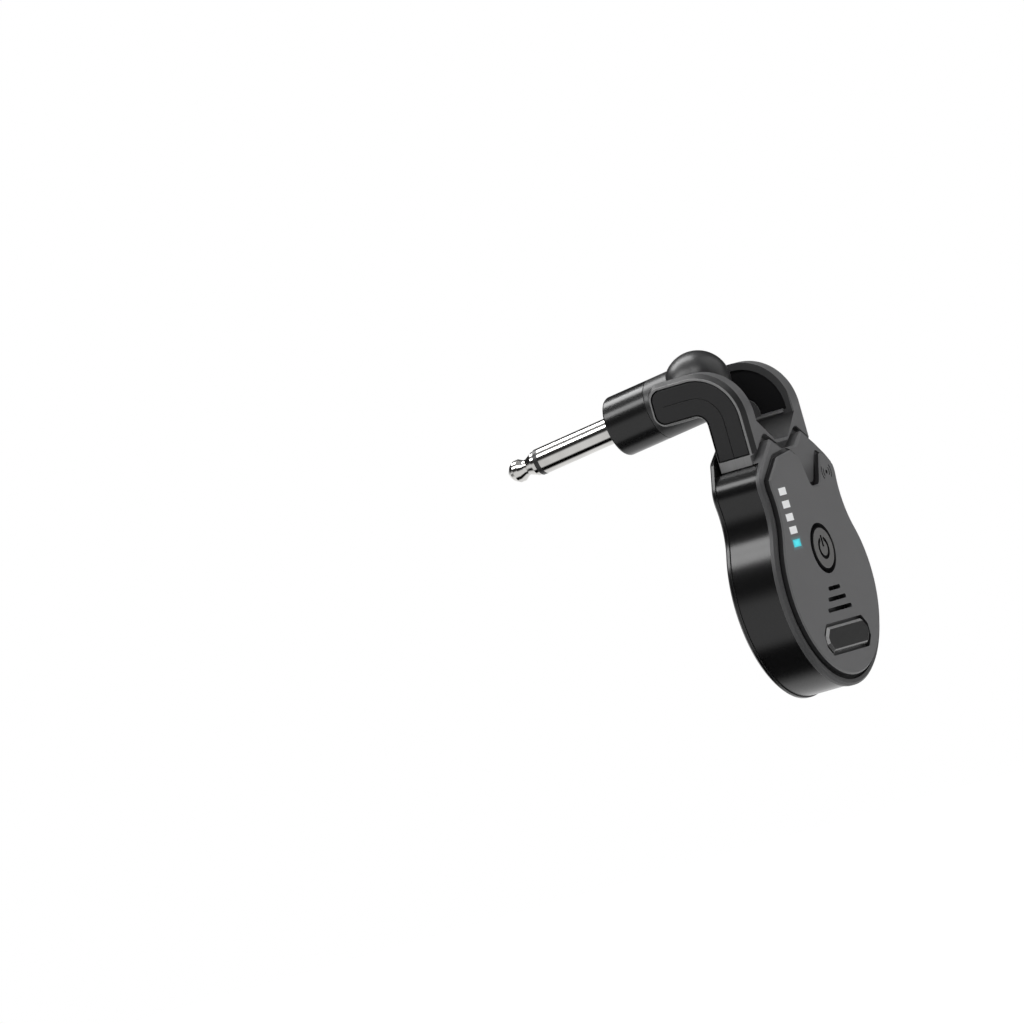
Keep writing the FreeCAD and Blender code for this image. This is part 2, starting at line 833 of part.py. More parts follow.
def hinge_wire():
    """Wire from the board up the right-hand ear and into the hollow hinge pin."""
    x = cover_floor - wire_radius - 0.05
    middle = hook_bend_z + hook_outer_radius - hook_band / 2
    start_z = board_top_z - 4.8
    bend_radius = hook_outer_radius - hook_band / 2
    return wire_along([(V(x, board_back, start_z), 0),
                       (V(x, wire_entry_y, start_z), wire_bend),
                       (V(x, wire_entry_y, middle), bend_radius),
                       (V(x, pivot_y - 3.2, middle), wire_bend),
                       (V(x, pivot_y, pivot_z), wire_bend),
                       (V(pin_start, pivot_y, pivot_z), 0)], wire_radius)


def arm_wires():
    """Two wires from the hollow pins through the knuckle to the solder lugs."""
    run = wire_bore_radius - wire_radius - wire_clearance
    ground_z = tail_radius + lug_rise - wire_radius
    ground_y = lug_y + ground_lug_ahead + lug_thickness - lug_length
    ground = wire_along([(V(pin_start, 0, 0), 0), (V(run, 0, 0), wire_bend),
                         (V(run, ground_y - ground_bend_back, 0), wire_bend),
                         (V(0, ground_y - lug_lead, ground_z), wire_bend),
                         (V(0, ground_y + lug_joint, ground_z), 0)], wire_radius)
    signal_z = -(core_radius + lug_rise - wire_radius)
    signal_y = lug_y - signal_lug_behind + lug_thickness - lug_length
    signal = wire_along([(V(-pin_start, 0, 0), 0), (V(-run, 0, 0), wire_bend),
                         (V(-run, signal_y - signal_bend_back, 0), wire_bend),
                         (V(0, signal_y - lug_lead, signal_z), wire_bend),
                         (V(0, signal_y + lug_joint, signal_z), 0)], wire_radius)
    return Part.makeCompound([ground, signal])


def battery_lead(x):
    """Lead from the battery's edge to its connector."""
    y = battery_front + lead_depth
    return rod(lead_radius, V(x, y, battery_top_z), V(x, y, connector_z - connector_height / 2))


def barrel_sleeve():
    """Round grip around the back of the plug."""
    start = neck_length + neck_gap
    edge = barrel_edge
    profile = [V(0, start, 0), V(0, start, arm_radius), V(0, barrel_end - edge, arm_radius),
               V(0, barrel_end - edge * 0.3, arm_radius - edge * 0.3), V(0, barrel_end, arm_radius - edge),
               V(0, barrel_end, 0)]
    body = spin(profile, Y_AXIS)
    body = body.cut(rod(arm_radius - barrel_wall, along(start - 1), along(barrel_end - barrel_end_wall)))
    return body.cut(rod(tail_radius, along(0), along(arm_length + 1)))


def plug_sleeve():
    """Ground contact of the plug: a tube with a thinner tail inside the barrel."""
    end = arm_length + sleeve_length
    outside = join([rod(plug_radius, along(arm_length), along(end)), rod(tail_radius, along(lug_y), along(end))])
    return outside.cut(rod(insulator_radius, along(lug_y - 1), along(end + 1)))


def plug_insulator():
    """Insulating tube inside the sleeve, ending in the ring that shows."""
    ring_start = arm_length + sleeve_length
    inner = rod(insulator_radius, along(arm_length - plug_tail - 1), along(ring_start))
    ring = rod(plug_radius, along(ring_start), along(ring_start + ring_length))
    body = join([inner, ring])
    return body.cut(rod(core_radius, along(0), along(ring_start + ring_length + 1)))


def plug_tip():
    """Signal contact: cone, neck and bulb that the jack's spring drops into."""
    start = arm_length + sleeve_length + ring_length
    end = arm_length + plug_length
    length = end - start
    stations = [(0.0, tip_base_radius), (0.12, tip_base_radius), (0.38, tip_neck_radius),
                (0.47, tip_neck_radius), (0.62, tip_bulb_radius), (0.76, tip_bulb_radius),
                (0.9, (tip_bulb_radius + tip_nose_radius) / 2 + 0.15), (1.0, tip_nose_radius)]
    profile = [V(0, start + share * length, radius) for share, radius in stations]
    profile = [along(start)] + profile + [along(end)]
    body = spin(profile, Y_AXIS)
    return body.cut(rod(core_radius, along(0), along(start + length / 2)))


def plug_core():
    """Rod that carries the signal from the tip to its lug."""
    start = arm_length - plug_tail - 2
    end = arm_length + sleeve_length + ring_length + (plug_length - sleeve_length - ring_length) / 2
    return rod(core_radius, along(start), along(end))


def plug_collar():
    """Flange pressed on the sleeve behind the barrel's end wall."""
    end = barrel_end - barrel_end_wall
    return tube(collar_radius, tail_radius, along(end - collar_thickness), along(end))


def solder_lug(hole_radius, y, side):
    """Ring lug with a tail for a wire."""
    ring = tube(hole_radius + lug_rim, hole_radius, along(y), along(y + lug_thickness))
    low = hole_radius + lug_rise
    tail = box(-lug_width / 2, lug_width / 2, y - lug_length, y + lug_thickness, low, low + lug_thickness)
    body = join([ring, tail])
    if side < 0:
        body.rotate(V(0, 0, 0), Y_AXIS, 180)
    return body


def button_cap():
    """Round key with a power sign cut into it and a flange that keeps it in."""
    top = -button_proud
    flange_start = shell_back + button_gap
    edge = 0.35
    profile = [along(top), V(0, top, button_radius - edge), V(0, top + edge, button_radius),
               V(0, flange_start, button_radius), V(0, flange_start, flange_radius),
               V(0, flange_start + flange_thickness, flange_radius), along(flange_start + flange_thickness)]
    cap = spin(profile, Y_AXIS)
    floor = top + symbol_depth
    ring = tube(symbol_radius + symbol_width / 2, symbol_radius - symbol_width / 2, along(top - 1), along(floor))
    opening = symbol_width * 1.25
    ring = ring.cut(box(-opening, opening, top - 2, floor + 1, 0, symbol_radius * 2))
    bar = box(-symbol_width / 2, symbol_width / 2, top - 1, floor, symbol_radius * 0.15, symbol_radius * 1.3)
    return cap.cut(ring).cut(bar)


def switch_plunger():
    """Stem of the tact switch, moved by the key."""
    start = shell_back + button_gap + flange_thickness
    return rod(plunger_radius, along(start), along(board_front - 0.15 - button_travel - 0.1))


def tact_switch():
    """Switch body under the key, with a hole for its stem."""
    half = switch_size / 2
    body = box(-half, half, board_front - switch_height, board_front, -half, half)
    return body.cut(rod(plunger_radius + running_gap, along(0), along(board_front - 0.15)))


def light_barrier():
    """Black foam grid that keeps each indicator's light in its own window."""
    half = window_width / 2 + barrier_wall
    top = windows_at[0] + window_height / 2 + barrier_wall
    low = windows_at[-1] - window_height / 2 - barrier_wall
    body = box(window_x - half, window_x + half, shell_back, board_front, low, top)
    for z in windows_at:
        half_width = window_width / 2
        half_height = window_height / 2
        body = body.cut(box(window_x - half_width, window_x + half_width, 0, back_y, z - half_height, z + half_height))
    return body


def led_chips():
    """One indicator lamp on the board behind each window."""
    half = led_width / 2
    high = led_height / 2
    return Part.makeCompound([box(window_x - half, window_x + half, board_front - led_depth, board_front,
                                  z - high, z + high) for z in windows_at])


def circuit_board():
    """Board that follows the inside of the case, notched for bosses and port."""
    def drawn(inset):
        top = shoulder_point(inset, min(board_top_z, ring_top - inset))
        return outline(inset, both_ways([(top, 0.5)]), shoulder_slope)
    board = slab(drawn(board_inset), board_front, board_back)
    for x, z in case_screws_at:
        board = board.cut(rod(case_boss_radius + 0.3, V(x, 0, z), V(x, back_y, z)))
    for x, z in board_screws_at:
        board = board.cut(rod(board_screw_radius + fit_gap, V(x, 0, z), V(x, back_y, z)))
    reach = pocket_height / 2 + pocket_wall + 0.3
    edge = pocket_floor_x - pocket_wall - 0.3
    return board.cut(box(edge, bout_radius, 0, back_y, pocket_z - reach, pocket_z + reach))


def on_board(width, height, depth, x, z):
    """Block on the back of the board."""
    return box(x - width / 2, x + width / 2, board_back, board_back + depth, z - height / 2, z + height / 2)


def usb_socket():
    """Metal shell of the charging socket with its tongue."""
    start = pocket_floor_x - socket_depth
    shell = prism(stadium(socket_width, socket_height, start, port_y, pocket_z), X_AXIS * socket_depth)
    hollow = stadium(socket_width - 2 * socket_wall, socket_height - 2 * socket_wall, start + 0.8, port_y, pocket_z)
    shell = shell.cut(prism(hollow, X_AXIS * socket_depth))
    thick = tongue_thickness / 2
    wide = tongue_width / 2
    tongue = box(start + 0.4, pocket_floor_x - 0.9, port_y - thick, port_y + thick, pocket_z - wide, pocket_z + wide)
    return join([shell, tongue])


def battery():
    """Pouch cell with a rounded edge."""
    half = battery_width / 2
    low = battery_top_z - battery_height
    corners = [(flat(-half, low), 1.2), (flat(half, low), 1.2),
               (flat(half, battery_top_z), 1.2), (flat(-half, battery_top_z), 1.2)]
    return slab(loop(corners), battery_front, battery_back)


def battery_pad(margin, y_from, y_to):
    """Pad on the battery, smaller by a margin all round."""
    half = battery_width / 2 - margin
    return box(-half, half, y_from, y_to, battery_top_z - battery_height + margin, battery_top_z - margin)


def case_screw(x, z):
    """Pan-head screw with a cross recess, driven from the back."""
    seat = back_y - case_screw_head - 0.1
    head = rod(case_screw_head_radius, V(x, seat, z), V(x, seat + case_screw_head, z))
    shank = rod(case_screw_radius, V(x, seat - case_screw_length, z), V(x, seat, z))
    return cross_cut(join([head, shank]), V(x, seat + case_screw_head, z), case_screw_head_radius, Y_AXIS)


def cross_cut(screw, centre, radius, outward):
    """Cut a cross into a screw's head."""
    half = radius * cross_reach
    slot = radius * cross_half_width
    depth = radius * cross_depth
    long_way = Part.makeBox(2 * half, 2 * depth, 2 * slot, V(-half, -depth, -slot))
    short_way = Part.makeBox(2 * slot, 2 * depth, 2 * half, V(-slot, -depth, -half))
    cross = join([long_way, short_way])
    cross.Placement = FreeCAD.Placement(centre, FreeCAD.Rotation(Y_AXIS, outward))
    return screw.cut(cross)


def board_screw(x, z):
    """Small screw that holds the board on its post."""
    head = rod(board_screw_head_radius, V(x, board_back, z), V(x, board_back + board_screw_head, z))
    shank = rod(board_screw_radius, V(x, board_back - board_screw_length, z), V(x, board_back, z))
    top = V(x, board_back + board_screw_head, z)
    return cross_cut(join([head, shank]), top, board_screw_head_radius, Y_AXIS)


def yoke_screw(x):
    """Screw from inside the case up into the yoke's bridge."""
    seat = ring_top - wall_inset
    head = rod(yoke_screw_head_radius, V(x, middle_y, seat - yoke_screw_head), V(x, middle_y, seat))
    shank = rod(yoke_screw_radius, V(x, middle_y, seat), V(x, middle_y, yoke_hole_end - overlap))
    low = V(x, middle_y, seat - yoke_screw_head)
    return cross_cut(join([head, shank]), low, yoke_screw_head_radius, V(0, 0, -1))


def each(function, places):
    """Like pieces at several places, kept as separate solids."""
    return Part.makeCompound([function(*place) for place in places])


window_solids = [window(z, 0) for z in windows_at]
right_cover = hook_cover()

housing_parts = {
    "front_shell": front_shell(),
    "face_panel": face_panel(),
    "wall_ring": wall_ring(),
    "back_cover": back_cover(),
    "yoke": yoke(),
    "left_hook_cover": mirrored(right_cover),
    "right_hook_cover": right_cover,
    "hinge_bushes": pair(hinge_bush()),
    "friction_washers": pair(friction_washer()),
    "name_plate": bevelled(plate_outline(0), plate_bevel, -plate_proud, shell_front),
    "indicator_windows": Part.makeCompound(window_solids[:-1]),
    "lit_indicator_window": window_solids[-1],
    "light_barrier": light_barrier(),
    "indicator_leds": led_chips(),
    "circuit_board": circuit_board(),
    "tact_switch": tact_switch(),
    "usb_socket": usb_socket(),
    "radio_shield_can": on_board(can_size, can_size, can_depth, can_x, can_z),
    "codec_chip": on_board(codec_size, codec_size, chip_depth, codec_x, codec_z),
    "charger_chip": on_board(charger_size, charger_size, chip_depth, charger_x, charger_z),
    "chip_antenna": on_board(antenna_length, antenna_width, antenna_depth, antenna_x, antenna_z),
    "battery_connector": on_board(connector_width, connector_height, connector_depth, connector_x, connector_z),
    "battery_leads": each(battery_lead, [(connector_x - lead_spread,), (connector_x + lead_spread,)]),
    "hinge_wires": pair(hinge_wire()),
    "battery_tape": battery_pad(tape_margin, board_back, battery_front),
    "battery": battery(),
    "battery_foam": battery_pad(foam_margin, battery_back, cover_front),
    "case_screws": each(case_screw, case_screws_at),
    "board_screws": each(board_screw, board_screws_at),
    "yoke_screws": each(yoke_screw, [(-yoke_screw_x,), (yoke_screw_x,)]),
    "power_button": button_cap(),
    "switch_plunger": switch_plunger(),
}

arm_parts = {
    "knuckle": knuckle(),
    "hinge_pins": pair(hinge_pin()),
    "barrel_sleeve": barrel_sleeve(),
    "plug_sleeve": plug_sleeve(),
    "plug_insulator": plug_insulator(),
    "plug_tip": plug_tip(),
    "plug_core": plug_core(),
    "plug_collar": plug_collar(),
    "ground_lug": solder_lug(tail_radius, lug_y + ground_lug_ahead, 1),
    "signal_lug": solder_lug(core_radius, lug_y - signal_lug_behind, -1),
    "arm_wires": arm_wires(),
}

droop = radians(arm_droop)
shoulder = V(0, pivot_y + arm_length * cos(droop), pivot_z - arm_length * sin(droop))

os.makedirs("parts", exist_ok=True)
for name, shape in arm_parts.items():
    housing_parts[name] = on_arm(shape)
for name, shape in housing_parts.items():
    placed = shape.copy()
    placed.translate(shoulder * -1)
    solids = len(placed.Solids)
    print(name, solids, placed.isValid(), round(placed.Volume, 2))
    placed.exportStep("parts/" + name + ".step")
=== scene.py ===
import math

import bmesh
import bpy
from mathutils import Matrix, Vector


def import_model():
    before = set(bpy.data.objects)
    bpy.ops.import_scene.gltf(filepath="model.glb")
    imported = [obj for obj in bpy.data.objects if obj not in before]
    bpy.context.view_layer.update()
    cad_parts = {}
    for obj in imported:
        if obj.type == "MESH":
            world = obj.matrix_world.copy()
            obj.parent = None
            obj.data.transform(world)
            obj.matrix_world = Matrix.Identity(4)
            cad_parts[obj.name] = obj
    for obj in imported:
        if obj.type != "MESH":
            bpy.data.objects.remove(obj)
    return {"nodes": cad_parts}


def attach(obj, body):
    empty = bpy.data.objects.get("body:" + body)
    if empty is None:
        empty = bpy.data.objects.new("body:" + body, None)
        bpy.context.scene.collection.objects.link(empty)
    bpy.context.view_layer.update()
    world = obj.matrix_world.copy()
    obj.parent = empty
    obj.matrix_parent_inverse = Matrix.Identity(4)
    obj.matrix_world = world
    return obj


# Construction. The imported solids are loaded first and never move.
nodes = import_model()["nodes"]
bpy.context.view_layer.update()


# Camera. The lens is long and far away, because the product picture is close to a parallel view,
# and the picture leans by sixteen degrees. The frame is 1024 pixels square.
picture_width = 1024
focal_pixels = 20000
sensor_width = 36.0
sight_limit = 50.0
camera_place = Vector((-4.18, -2.0449, -0.0576))
camera_right = Vector((0.43058, -0.86038, -0.27267))
camera_up = Vector((0.11297, -0.24836, 0.96206))
camera_back = camera_right.cross(camera_up)

camera_data = bpy.data.cameras.new("camera")
camera_data.sensor_width = sensor_width
camera_data.lens = focal_pixels * sensor_width / picture_width
camera_data.clip_end = sight_limit
camera = bpy.data.objects.new("camera", camera_data)
camera.matrix_world = Matrix((
    (camera_right.x, camera_up.x, camera_back.x, camera_place.x),
    (camera_right.y, camera_up.y, camera_back.y, camera_place.y),
    (camera_right.z, camera_up.z, camera_back.z, camera_place.z),
    (0.0, 0.0, 0.0, 1.0)))
bpy.context.scene.collection.objects.link(camera)
bpy.context.scene.camera = camera
bpy.context.scene.view_settings.view_transform = "Standard"


# World. A pale studio. The camera, metal and glass see white paper all round, with dark flags that
# hang above and below the horizon, and the plain light level is lower.
class Shade:
    """A socket in a node tree. Sums written on it add Math nodes to that tree."""

    def __init__(self, tree, socket=None):
        self.tree = tree
        self.socket = socket

    def node(self, kind, settings=None, sockets=None, output=0):
        """Adds any node: its type, its settings, then the values or links of its sockets."""
        new = self.tree.nodes.new("ShaderNode" + kind)
        for name, value in (settings or {}).items():
            if name == "stops":
                ramp = new.color_ramp.elements
                for i, (place, grey) in enumerate(value):
                    stop = ramp[i] if i < 2 else ramp.new(place)
                    stop.position = place
                    stop.color = (grey, grey, grey, 1.0)
            else:
                setattr(new, name, value)
        for name, value in (sockets or {}).items():
            if isinstance(value, Shade):
                self.tree.links.new(value.socket, new.inputs[name])
            else:
                new.inputs[name].default_value = value
        return Shade(self.tree, new.outputs[output] if new.outputs else None)

    def maths(self, operation, first, second=0.0):
        """One Math node on numbers or sockets."""
        return self.node("Math", {"operation": operation}, {0: first, 1: second})

    def __add__(self, other):
        return self.maths("ADD", self, other)

    __radd__ = __add__

    def __mul__(self, other):
        return self.maths("MULTIPLY", self, other)

    __rmul__ = __mul__

    def __or__(self, other):
        """The larger of two, which joins masks."""
        return self.maths("MAXIMUM", self, other)

    __ror__ = __or__

    def __sub__(self, other):
        return self.maths("SUBTRACT", self, other)

    def __rsub__(self, other):
        return self.maths("SUBTRACT", other, self)

    def __truediv__(self, other):
        return self.maths("DIVIDE", self, other)

    def __rtruediv__(self, other):
        return self.maths("DIVIDE", other, self)

    def __gt__(self, other):
        return self.maths("GREATER_THAN", self, other)

    def __lt__(self, other):
        return self.maths("LESS_THAN", self, other)

    def __abs__(self):
        return self.maths("ABSOLUTE", self)

    def between(self, low, high):
        """0 below low, 1 above high and smooth between them."""
        return self.node("MapRange", {"interpolation_type": "SMOOTHSTEP"}, {0: self, 1: low, 2: high})

    def mix(self, first, second):
        """First colour where this is 0, second where it is 1."""
        return self.node("Mix", {"data_type": "RGBA"}, {0: self, 6: first, 7: second}, 2)


def opaque(colour, level=1.0):
    """A colour at a level, with full cover."""
    return tuple(part * level for part in colour) + (1.0,)


def ray(tree, kind):
    """Where the light path is of one kind."""
    return tree.node("LightPath", output="Is " + kind + " Ray")


paper_white = opaque((1.0, 1.0, 1.0))
no_light = opaque((0.0, 0.0, 0.0))
world_level = 0.4
flags_by_height = [(0.0, 0.8), (1.0, 0.4), (0.49, 0.8), (0.505, 0.6), (0.55, 0.25), (0.59, 0.02),
                   (0.78, 0.02), (0.88, 0.25)]
face_flag = (0.895, -0.445, 0.0)
face_flag_edge = (0.7, 0.97)
face_flag_depth = 0.72

world = bpy.data.worlds.new("studio")
world.use_nodes = True
world.node_tree.nodes.clear()
sky = Shade(world.node_tree)
sky_seen = ray(sky, "Camera") + ray(sky, "Transmission")
direction = sky.node("TexCoord", output="Generated")
height = sky.node("SeparateXYZ", sockets={0: direction}, output=2)
flags = sky.node("ValToRGB", {"stops": flags_by_height}, {0: height * 0.5 + 0.5})
toward_flag = sky.node("VectorMath", {"operation": "DOT_PRODUCT"}, {0: direction, 1: face_flag}, "Value")
flags = (toward_flag.between(*face_flag_edge) * face_flag_depth).mix(flags, no_light)
backdrop = sky.node("Background", sockets={0: sky_seen.mix(flags, paper_white), 1: 1.0})
daylight = sky.node("Background", sockets={0: paper_white, 1: world_level})
shown = sky.maths("MINIMUM", sky_seen + ray(sky, "Glossy"), 1.0)
sky.node("OutputWorld", sockets={0: sky.node("MixShader", sockets={0: shown, 1: daylight, 2: backdrop})})
bpy.context.scene.world = world


# Floor. Wide white paper well below the object, as bright as the paper all round. Polished pieces see
# a dark strip down its middle, as they would with a black card laid under a small product.
floor_radius = 6.0
floor_sides = 96
floor_middle = (0.0, -0.03, -0.16)
floor_colour = (0.82, 0.82, 0.82)
glow_spread = (0.12, 0.9)
glow_far = 0.82
glow_near = 0.04
card_span = 0.5
cards_across = [(0.0, 0.8), (1.0, 1.0), (0.27, 0.8), (0.33, 0.0), (0.49, 0.0), (0.56, 0.9)]


def unlit(name):
    """New material with an empty tree, and a Shade to draw on it."""
    paint = bpy.data.materials.new(name)
    paint.use_nodes = True
    paint.node_tree.nodes.clear()
    return paint, Shade(paint.node_tree)


floor_mesh = bpy.data.meshes.new("floor")
floor_shape = bmesh.new()
bmesh.ops.create_circle(floor_shape, cap_ends=True, segments=floor_sides, radius=floor_radius)
floor_shape.to_mesh(floor_mesh)
floor_shape.free()
floor = bpy.data.objects.new("floor", floor_mesh)
floor.location = floor_middle
bpy.context.scene.collection.objects.link(floor)

floor_paper, sheet = unlit("floor_paper")
on_floor = sheet.node("TexCoord", output="Object")
reach = sheet.node("VectorMath", {"operation": "LENGTH"}, {0: on_floor}, "Value")
paper_seen = ray(sheet, "Camera") + ray(sheet, "Transmission")
glow = (reach.between(*glow_spread) * glow_far + glow_near) * paper_seen
paper = sheet.node("AddShader", sockets={
    0: sheet.node("BsdfDiffuse", sockets={0: opaque(floor_colour)}),
    1: sheet.node("Emission", sockets={0: paper_white, 1: glow})})
across_floor = sheet.node("SeparateXYZ", sockets={0: on_floor}, output=0)
cards = sheet.node("ValToRGB", {"stops": cards_across}, {0: across_floor / card_span + 0.5})
reflected = sheet.node("Emission", sockets={0: cards, 1: 1.0})
sheet.node("OutputMaterial", sockets={0: sheet.node("MixShader", sockets={
    0: ray(sheet, "Glossy"), 1: paper, 2: reflected})})
floor_mesh.materials.append(floor_paper)


# Studio lamps. Soft boxes of even white light, placed round the object and turned to its middle, with
# one side along the case's depth.
depth_axis = Vector((0.0, 1.0, 0.0))
object_middle = Vector((0.0, -0.02, -0.02))
for name, toward, distance, width, tall, power in (
        ("key_box", (-0.75, -0.35, 1.0), 0.8, 0.35, 0.35, 1.6),
        ("face_box", (0.55, -0.8, 0.75), 0.36, 0.34, 0.34, 0.3),
        ("side_box", (-0.575, 0.445, 0.686), 0.9, 0.8, 0.24, 3.7),
        ("top_box", (0.2, 0.445, 0.87), 0.9, 0.8, 0.34, 6.0)):
    box_light = bpy.data.lights.new(name, "AREA")
    box_light.shape = "RECTANGLE"
    box_light.size = width
    box_light.size_y = tall
    box_light.energy = power
    lamp = bpy.data.objects.new(name, box_light)
    away = Vector(toward).normalized()
    level = (depth_axis - away * away.dot(depth_axis)).normalized()
    turn = Matrix((level, away.cross(level), away)).transposed().to_4x4()
    lamp.matrix_world = Matrix.Translation(object_middle + away * distance) @ turn
    bpy.context.scene.collection.objects.link(lamp)


# Front shell. The front half of the case, moulded in grey plastic with a fine matt texture. Its top
# edge is M-shaped, and painted shade fills the channel round the raised panel.
case_y = 42.3479
case_z = 40.1139
square_on = 0.9
half_on = 0.5
edge_on = 0.3
shell_grey = (0.1, 0.1, 0.102)
rim_grey = (0.035, 0.035, 0.036)
rim_fade = (17.0, 21.0)
rim_strength = 0.85
# A dull near-black for painted shade.
pit_shade_black = (0.006, 0.006, 0.0065)
edge_radius = 0.00012
edge_turn = (0.01, 0.2)
edge_cover = 0.8
wear_and_highlight_grey = 0.35
slot_side = 8.0
slot_top = -8.0
slot_foot = -16.5
# How the painted shade in the slots and in the channel round the panel is spread.
slot_black_end = (0.0, 2.5)
slot_shade_fade = 0.6
channel_floor = 1.3
channel_back = 1.69
channel_shade = 0.8
channel_fade = (17.0, 22.5)
channel_shade_fade = 0.45
button_ring = 6.4


def split(vector):
    """The three parts of a vector."""
    return [vector.node("SeparateXYZ", sockets={0: vector}, output=i) for i in range(3)]


def on_case(tree):
    """Where a point is on the case: millimetres right of, behind and above the button's middle.

    The part's own origin lies case_y behind that middle and case_z above it.
    """
    x, y, z = split(tree.node("TexCoord", output="Object"))
    return x * 1000.0, y * 1000.0 + case_y, z * 1000.0 + case_z


def facing(tree):
    """Which way a face of the piece looks, in the piece's own frame."""
    return split(tree.node("TexCoord", output="Normal"))


def from_middle(tree, x, z):
    """How far a point lies from a middle, seen from the front."""
    flat = tree.node("CombineXYZ", sockets={0: x, 1: z})
    return tree.node("VectorMath", {"operation": "LENGTH"}, {0: flat}, "Value")


def moulded(name, colour, roughness, grain=0.00016, grain_height=0.00001, patch=0.1, shine=0.5,
            wear_and_highlight=0.25, tones=(), painted_shade=None, glow=None):
    """Moulded plastic: faint patches, fine grain, softened edges painted lighter as wear and highlight,
    tones by mask and painted shade.
    """
    paint, tree = unlit(name)
    place = tree.node("TexCoord", output="Object")
    patches = tree.node("TexNoise", sockets={0: place, "Scale": 90.0, "Detail": 4.0})
    fine = tree.node("TexNoise", sockets={0: place, "Scale": 1.0 / grain, "Detail": 2.0})
    soft = tree.node("Bevel", {"samples": 6}, {"Radius": edge_radius})
    flat = tree.node("NewGeometry", output="Normal")
    corner = 1.0 - tree.node("VectorMath", {"operation": "DOT_PRODUCT"}, {0: soft, 1: flat}, "Value")
    base = patches.mix(opaque(colour, 1.0 - patch), opaque(colour, 1.0 + patch))
    for mask, tone in tones:
        base = mask(tree).mix(base, opaque(tone))
    # Edges are painted lighter: partly rubbed wear, partly painted highlight.
    worn_and_lit = tuple(part + (wear_and_highlight_grey - part) * wear_and_highlight for part in colour)
    base = (corner.between(*edge_turn) * edge_cover).mix(base, opaque(worn_and_lit))
    bump = tree.node("Bump", sockets={"Height": fine, "Distance": grain_height, "Normal": soft})
    rough = patches * (roughness * 0.25) + fine * (roughness * 0.15) + roughness * 0.8
    sockets = {"Base Color": base, "Roughness": rough, "Normal": bump, "Specular IOR Level": shine}
    if glow:
        sockets["Emission Color"] = glow(tree)
        sockets["Emission Strength"] = 1.0
    shader = tree.node("BsdfPrincipled", sockets=sockets)
    # Painted shade: where its mask says, the finish is mixed towards a dull near-black shader.
    if painted_shade:
        shade_shader = tree.node("BsdfPrincipled", sockets={
            "Base Color": opaque(pit_shade_black), "Roughness": 0.9, "Specular IOR Level": 0.1})
        shader = tree.node("MixShader", sockets={0: painted_shade(tree), 1: shader, 2: shade_shader})
    tree.node("OutputMaterial", sockets={0: shader})
    return paint


def paint_node(name, paint):
    """Gives a CAD node its finish."""
    slots = nodes[name].material_slots
    for slot in slots:
        slot.material = paint
    if not slots:
        nodes[name].data.materials.append(paint)


def in_slots(x, z):
    """The painted shade in the slots is full at their right ends and weaker to the left."""
    slots = (abs(x) < slot_side) * (z < slot_top) * (z > slot_foot)
    return 1.0 - slots * (1.0 - x.between(*slot_black_end)) * slot_shade_fade


def shell_shade(tree):
    """Painted shade on the floors and flanks of the channel, fading towards its top, in the slots and on
    the ring round the button.
    """
    x, y, z = on_case(tree)
    look = facing(tree)
    floors = (y > channel_floor) * (look[1] < -square_on)
    flanks = (abs(look[1]) < edge_on) * (y < channel_back)
    channel = (floors | flanks) * (channel_shade - z.between(*channel_fade) * channel_shade_fade)
    return (channel * in_slots(x, z)) | (from_middle(tree, x, z) < button_ring)


def shell_rim(tree):
    """The narrow rim beside the panel, painted darker low down and fading to the shell's grey towards the
    top.
    """
    z = on_case(tree)[2]
    return (1.0 - z.between(*rim_fade)) * rim_strength


paint_node("front_shell", moulded("shell_grey", shell_grey, 0.48, painted_shade=shell_shade,
                                  tones=[(shell_rim, rim_grey)]))


# Face panel. A raised plate of the same grey, moulded separately and glued on, with a cutaway beside
# its horn and a small transmit sign pressed into the horn. Painted shade fills its recesses, and a cyan
# glow is painted on it round the lit window.
panel_grey = (0.108, 0.108, 0.11)
panel_skin = 0.05
panel_shade_depth = 0.85
sill_shade_loss = 0.5
window_x = -12.7
window_z = 2.7
window_half_width = 1.9
window_half_height = 0.9
glow_colour = (0.0, 0.12, 0.14)
glow_reach = (-0.4, 0.9)


def panel_shade(tree):
    """Painted shade on the floors and flanks of everything cut into the panel and on its outer flank, less
    on the slots' upward sills.
    """
    x, y, z = on_case(tree)
    look = facing(tree)
    deep = (y > panel_skin) * ((look[1] < -square_on) | (abs(look[1]) < edge_on))
    sills = (look[2] > half_on) * (abs(x) < slot_side) * (z < slot_top)
    return deep * (panel_shade_depth - sills * sill_shade_loss) * in_slots(x, z)


def window_glow(tree):
    """Painted glow: cyan light painted onto the panel round the lit window."""
    x, y, z = on_case(tree)
    far = (abs(x - window_x) - window_half_width) | (abs(z - window_z) - window_half_height)
    return (1.0 - far.between(*glow_reach)).mix(no_light, opaque(glow_colour))


paint_node("face_panel", moulded("panel_grey", panel_grey, 0.46, painted_shade=panel_shade, glow=window_glow))


# Side wall and back cover. Glossy black plastic, polished in the mould. The wall is one ring glued
# to the shell, and four screws hold the cover on it.
case_black = (0.0045, 0.0045, 0.0047)
for name in ("wall_ring", "back_cover"):
    paint_node(name, moulded(name + "_black", case_black, 0.2, grain=0.0006, grain_height=0.000001,
                             wear_and_highlight=0.35))


